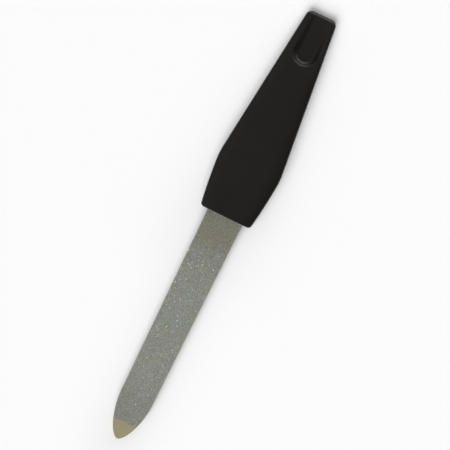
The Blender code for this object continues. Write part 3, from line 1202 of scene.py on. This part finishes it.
    def face_line(self, half: Array, parting: Array, high: Array, crown: Array) -> Array:
        """The crowned face from its middle, and the round that leads it into the side.

        The face falls by the crown times y over its half width to a power. The round leaves it
        along its own slope and meets the drafted side, which takes a few corrections to settle.

        Args:
            half: half the width at the parting line.
            parting: the parting line's height.
            high: the face's height.
            crown: how far the face falls towards its edge.

        Returns:
            The points, as sections, points, yz.
        """
        room = high - parting
        fall = np.minimum(crown, self.crown_limit * room)
        radius = np.minimum(self.face_edge, self.round_limit * (room - fall))
        side = half - room * math.tan(self.draft)
        start = side - radius
        for _ in range(self.settling):
            slope = -fall * self.crown_power * (start / side) ** (self.crown_power - 1) / side
            lean = np.arctan(slope)
            y = start + radius * np.sin(lean)
            z = high - fall * (start / side) ** self.crown_power - radius * np.cos(lean)
            gap = (y - half) * math.cos(self.draft) + (z - parting) * math.sin(self.draft)
            start = start - (gap + radius)
        face_y = start * np.linspace(0, 1, self.face_steps + 1)[None, :-1]
        face_z = high - fall * (face_y / side) ** self.crown_power
        arc = np.linspace(0, 1, self.corner_steps + 1)[None]
        angle = (math.pi / 2 + lean) * (1 - arc) + self.draft * arc
        y = np.concatenate([face_y, y + radius * np.cos(angle)], axis=1)
        z = np.concatenate([face_z, z + radius * np.sin(angle)], axis=1)
        return np.stack([y, z], axis=-1)

    def side_line(
        self, half: Array, parting: Array, room: Array, above: Array, below: Array
    ) -> Array:
        """The side between both rounds: drafted both ways, with a fine ridge where they meet.

        Args:
            half: half the width at the parting line.
            parting: the parting line's height.
            room: the face's height over the parting line.
            above: the height at which the face's round ends.
            below: the height at which the back's round starts.

        Returns:
            The points, as sections, points, yz.
        """
        squeeze = np.minimum(1.0, room / self.ridge_room)
        ridge_z = parting + np.array([self.ridge_places]) * MM * squeeze
        ridge_out = np.array([self.ridge_shape]) * self.parting_ridge * squeeze
        steps = np.linspace(0, 1, self.side_steps + 1)[None, 1:-1]
        upper_z = above + (ridge_z[:, :1] - above) * steps
        lower_z = ridge_z[:, -1:] + (below - ridge_z[:, -1:]) * steps
        z = np.concatenate([upper_z, ridge_z, lower_z], axis=1)
        out = np.concatenate([upper_z * 0, ridge_out, lower_z * 0], axis=1)
        y = half - np.abs(z - parting) * math.tan(self.draft) + out
        return np.stack([y, z], axis=-1)

    def back_line(self, half: Array, parting: Array, low: Array) -> Array:
        """The round that leads the drafted side into the back, and the level back to its middle.

        Args:
            half: half the width at the parting line.
            parting: the parting line's height.
            low: the back's height.

        Returns:
            The points, as sections, points, yz.
        """
        radius = np.minimum(self.back_edge, self.round_limit * (parting - low))
        rise = (low + radius - parting) * math.sin(self.draft)
        middle = half + (rise - radius) / math.cos(self.draft)
        arc = np.linspace(0, 1, self.corner_steps + 1)[None]
        angle = -self.draft * (1 - arc) - math.pi / 2 * arc
        arc_y = middle + radius * np.cos(angle)
        arc_z = low + radius + radius * np.sin(angle)
        back_y = arc_y[:, -1:] * np.linspace(1, 0, self.back_steps + 1)[None, 1:]
        y = np.concatenate([arc_y, back_y], axis=1)
        z = np.concatenate([arc_z, low + 0 * back_y], axis=1)
        return np.stack([y, z], axis=-1)

    def sections(self, place: Array) -> tuple[Array, Array]:
        """The body's closed sections, from the middle of the face round by y > 0.

        The right half is face, side and back, the left half is its mirror image, and the scoop
        comes off the face. The crown is a share of the half width and fades over the nose.

        Args:
            place: distances from the mouth.

        Returns:
            The sections' y and z, a row for each place.
        """
        place = place[:, None]
        behind = self.length - place
        inset = corner_inset(place, self.mouth_corner) + corner_inset(behind, self.end_corner)
        trim = corner_inset(place, self.mouth_edge)
        half = self.half_width(place) - inset
        high = self.face_height(place) - trim - corner_inset(behind, self.end_face_edge)
        low = self.back_height(place) + trim + corner_inset(behind, self.end_back_edge)
        parting = (low + high) / 2
        nose = place - self.length + self.nose_length
        fade = s_curve(nose / self.crown_fade_length + self.crown_fade_lead)
        crown = self.crown_share * (1 - self.crown_fade * fade) * half
        face = self.face_line(half, parting, high, crown)
        back = self.back_line(half, parting, low)
        side = self.side_line(half, parting, high - parting, face[:, -1:, 1], back[:, :1, 1])
        whole = mirrored(np.concatenate([face, side, back], axis=1), (-1, 1))
        y, z = whole[..., 0], whole[..., 1]
        for part in (slice(self.face_steps), slice(1 - self.face_steps, None)):
            z[:, part] -= self.scooped(place, y[:, part])
        return y, z

    def opening(self, half_width: float, half_height: float, radius: float, count: int) -> Array:
        """A rounded rectangle round the blade's middle, with the same points as a section.

        Args:
            half_width: half its width.
            half_height: half its height.
            radius: its corners' radius.
            count: how many points a whole section has.

        Returns:
            Its y and z, one point a row.
        """
        arc = np.linspace(0, math.pi / 2, self.corner_steps + 1)
        right = count // 2 + 1
        sides = right - self.face_steps - 2 * (self.corner_steps + 1) - self.back_steps
        flat_y = (half_width - radius) * np.linspace(0, 1, self.face_steps + 1)[:-1]
        corner_y = half_width - radius + radius * np.sin(arc)
        corner_z = half_height - radius + radius * np.cos(arc)
        side_z = (half_height - radius) * np.linspace(1, -1, sides + 2)[1:-1]
        back_y = (half_width - radius) * np.linspace(1, 0, self.back_steps + 1)[1:]
        y = np.concatenate([flat_y, corner_y, np.full(sides, half_width), corner_y[::-1], back_y])
        z = np.concatenate([np.full(self.face_steps, half_height), corner_z, side_z])
        z = np.concatenate([z, -corner_z[::-1], np.full(self.back_steps, -half_height)])
        return mirrored(np.stack([y, z], axis=1), (-1, 1))

    def pocket(self, count: int) -> Array:
        """The rings from the mouth's face inwards: lip, slot for the blade, pocket for the tang.

        The lip is a quarter circle that opens towards the mouth.

        Args:
            count: how many points a section has.

        Returns:
            The rings' points, as rings, points, xyz.
        """
        width = self.blade.mouth_width / 2 + self.slot_gap
        rise = (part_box("coarse_grit_coat")[1].z - self.middle_z) + self.slot_gap
        turns = np.linspace(0, math.pi / 2, self.lip_steps + 1)
        lip = zip(self.slot_lip * (1 - np.cos(turns)), self.slot_lip * (1 - np.sin(turns)))
        corner = self.slot_corner
        rings = [(depth, width + grow, rise + grow, corner + grow) for depth, grow in lip]
        shoulder = self.blade.shoulder_depth + self.slot_gap
        tang = self.blade.tang_width / 2 + self.slot_gap
        thin = (self.blade.high - self.blade.low) / 2 + self.slot_gap
        rings.append((shoulder, width + self.slot_gap, rise, corner))
        rings.append((shoulder, tang, thin, corner))
        rings.append((self.blade.tang_length + self.slot_gap, tang, thin, corner))
        loops = np.stack([self.opening(*size, count) for _, *size in rings])
        depths = np.array([depth for depth, *_ in rings])[:, None, None]
        x = np.broadcast_to(self.mouth_x + depths, (*loops.shape[:2], 1))
        return np.concatenate([x, loops + (0, self.middle_z)], axis=2)

    def build(self, finish: BlackPlastic) -> bpy.types.Object:
        """Loft the sections, close the end, and line the mouth with its slot and pocket.

        Args:
            finish: the plastic's finish.

        Returns:
            The handle's object.
        """
        place = self.stations()
        y, z = self.sections(place)
        x = np.broadcast_to((self.mouth_x + place)[:, None], y.shape)
        surface = Surface()
        outside = surface.add_points(np.stack([x, y, z], axis=-1))
        inside = surface.add_points(self.pocket(y.shape[1]))
        surface.add_faces(strips(np.concatenate([inside[::-1], outside])))
        surface.add_faces(inside[-1][None])
        surface.add_faces(outside[-1][None], flip=True)

        radius = self.blade.hole_radius - self.slot_gap
        rise = (self.blade.high - self.blade.low) / 2 + self.slot_gap + self.key_overlap
        levels = (self.middle_z - rise, self.middle_z + rise)
        for centre in self.blade.hole_places():
            key = surface.add_points(circles(centre, radius, self.key_points, levels))
            surface.add_faces(strips(key), flip=True)
            surface.add_faces(key[:1], flip=True)
            surface.add_faces(key[1:])

        behind = (self.length - place)[:, None]
        wide = np.abs(y) / y.max(axis=1, keepdims=True)
        edge = np.clip((wide - self.worn_edge) / (1 - self.worn_edge), 0, 1)
        edge = edge * (z > z.mean(axis=1, keepdims=True))
        thumb = np.exp(-(((behind - self.thumb_place) / self.thumb_breadth) ** 2))
        thumb = thumb * np.clip(1 - wide, 0, 1)
        rub = np.clip(self.rub_share * (edge + thumb), 0, 1)
        rest = sum(len(block) for block in surface.points) - rub.size
        surface.values["rub"] = (Domain.POINT, np.concatenate([rub.ravel(), np.zeros(rest)]))
        piece = surface.build("handle_moulding", finish.material(), SHARP)
        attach(piece, "root")
        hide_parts("handle")
        return piece


# Studio


@dataclass(frozen=True)
class SoftLight:
    """A far softbox that lights everything evenly.

    Its place is given by its angle from straight up and by its bearing, from +X towards +Y.
    """

    name: str
    from_zenith: float
    bearing: float
    breadth: float
    level: float
    colour: Colour

    def build(self) -> bpy.types.Object:
        """Hang the light.

        The level is what share of a level surface's white the light gives.

        Returns:
            The lamp's object.
        """
        lamp = bpy.data.lights.new(self.name, "SUN")
        lamp.angle = self.breadth
        lamp.energy = self.level * math.pi / math.cos(self.from_zenith)
        lamp.color = self.colour
        item = linked(self.name, lamp)
        item.rotation_euler = Euler((0.0, self.from_zenith, self.bearing), "XYZ")
        return item


@dataclass
class Studio:
    """The white sweep, one softbox, the room's own light and the camera straight above."""

    floor_radius: float = 6.0
    centre: tuple[float, float] = (0.972 * MM, -0.921 * MM)
    span: float = 119.4 * MM
    roll: float = math.radians(-63.964)
    lens: float = 200.0
    sensor: float = 36.0
    room_low: float = 0.11
    room_high: float = 0.56
    room_colour: Colour = (1.0, 1.0, 1.0)
    bright_side: float = math.radians(36)
    step: float = 0.07
    step_breadth: float = 0.47
    horizon: float = 0.87
    strip_side: float = math.radians(-3.5)
    strip_from_zenith: float = math.radians(76.6)
    strip_height: float = 0.048
    strip_breadth: float = 0.62
    strip_level: float = 12.7
    strip_fade: float = 0.05
    strip_least: float = 0.01
    floor_points: int = 96
    near: float = 0.01
    far: float = 50.0
    softbox: SoftLight = SoftLight(
        name="main_softbox",
        from_zenith=math.radians(47),
        bearing=math.radians(180),
        breadth=math.radians(46),
        level=0.62,
        colour=(1.0, 1.0, 1.0),
    )

    def lay_floor(self, finish: PaleFloor) -> bpy.types.Object:
        """Lay the floor: one disc, its rim a circle.

        Args:
            finish: the floor's finish.

        Returns:
            The floor's object.
        """
        surface = Surface()
        disc = circles(0.0, self.floor_radius, self.floor_points, (0.0,))
        surface.add_faces(surface.add_points(disc))
        floor = surface.build("floor", finish.material(), None)
        return floor

    def light_room(self) -> bpy.types.World:
        """Give the room its own light: a bright half and a dark half, and a bright low strip.

        Across the middle of the room the light grows as an S-curve, q squared times 3 less 2 q,
        of how far a direction leans to the bright half, and over the horizon it grows evenly with
        height. The strip is e to the power of minus half the square of a direction's height off
        it, over one plus the square of how far it turns aside, each in shares of its own breadth.
        It fades to nothing where a direction turns square to it.

        Returns:
            The room.
        """
        graph = Graph(bpy.data.worlds.new("room"))
        way = graph.add("ShaderNodeTexCoord", {}, {}, "Generated")
        lean = graph.along(way, (math.cos(self.bright_side), math.sin(self.bright_side), 0.0))
        height = graph.along(way, (0.0, 0.0, 1.0))
        ahead = graph.along(way, (math.cos(self.strip_side), math.sin(self.strip_side), 0.0))
        across = graph.along(way, (-math.sin(self.strip_side), math.cos(self.strip_side), 0.0))
        rise = lean.between(self.step - self.step_breadth / 2, self.step + self.step_breadth / 2)
        half = rise * rise * (3.0 - rise * 2.0) * height.between(0.0, self.horizon)
        off = (height - math.cos(self.strip_from_zenith)) * (1 / self.strip_height)
        beside = across / ahead.math("MAXIMUM", self.strip_least) * (1 / self.strip_breadth)
        strip = (off * off * -0.5).math("EXPONENT") / (beside * beside + 1.0)
        strip = strip * ahead.between(0.0, self.strip_fade) * self.strip_level
        strength = half * (self.room_high - self.room_low) + strip + self.room_low
        room = graph.glow(self.room_colour, strength)
        bpy.context.scene.world = room
        return room

    def set_camera(self, subject_height: float) -> bpy.types.Object:
        """Hang a long-lensed camera straight above, turned as the photograph is.

        Its distance is the lens times the span it takes in, over the sensor's width.

        Args:
            subject_height: the height at which the span is measured.

        Returns:
            The camera's object.
        """
        camera = bpy.data.cameras.new("camera")
        camera.lens = self.lens
        camera.sensor_width = self.sensor
        camera.clip_start = self.near
        camera.clip_end = self.far
        item = linked("camera", camera)
        distance = self.lens * self.span / self.sensor
        item.location = (*self.centre, subject_height + distance)
        item.rotation_euler = Euler((0.0, 0.0, self.roll), "XYZ")
        bpy.context.scene.camera = item
        return item


def report(piece: bpy.types.Object) -> None:
    """Log a piece's name, size and counts of points and faces.

    Args:
        piece: the piece.
    """
    size = ", ".join(f"{side / MM:.2f}" for side in piece.dimensions)
    counts = len(piece.data.vertices), len(piece.data.polygons)
    log.info("%s: %d points, %d faces, %s mm", piece.name, *counts, size)


def main() -> None:
    """Build the file's pieces in order, light them, and log each piece's size."""
    logging.basicConfig(level=logging.INFO, format="%(name)s: %(message)s")
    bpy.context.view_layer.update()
    bpy.context.scene.view_settings.view_transform = "Standard"
    studio = Studio()
    studio.set_camera(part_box("blade")[1].z)
    studio.lay_floor(PaleFloor())
    studio.light_room()
    studio.softbox.build()
    blade = BladeSteel()
    report(blade.build(SatinSteel()))
    coarse = GritBed(
        face=Face.FRONT,
        node="coarse_grit_coat",
        name="coarse_crystals",
        slot="coarse_grit",
        cell=0.22 * MM,
        seed=11,
        blade=blade,
    )
    report(coarse.build(CrystalGrit("coarse_corundum")))
    fine = GritBed(
        face=Face.BACK,
        node="fine_grit_coat",
        name="fine_crystals",
        slot="fine_grit",
        cell=0.19 * MM,
        seed=23,
        blade=blade,
    )
    report(fine.build(CrystalGrit("fine_corundum", cool=(0.262, 0.275, 0.252), contrast=0.30)))
    report(HandleShell(blade).build(BlackPlastic()))


if __name__ == "__main__":
    main()
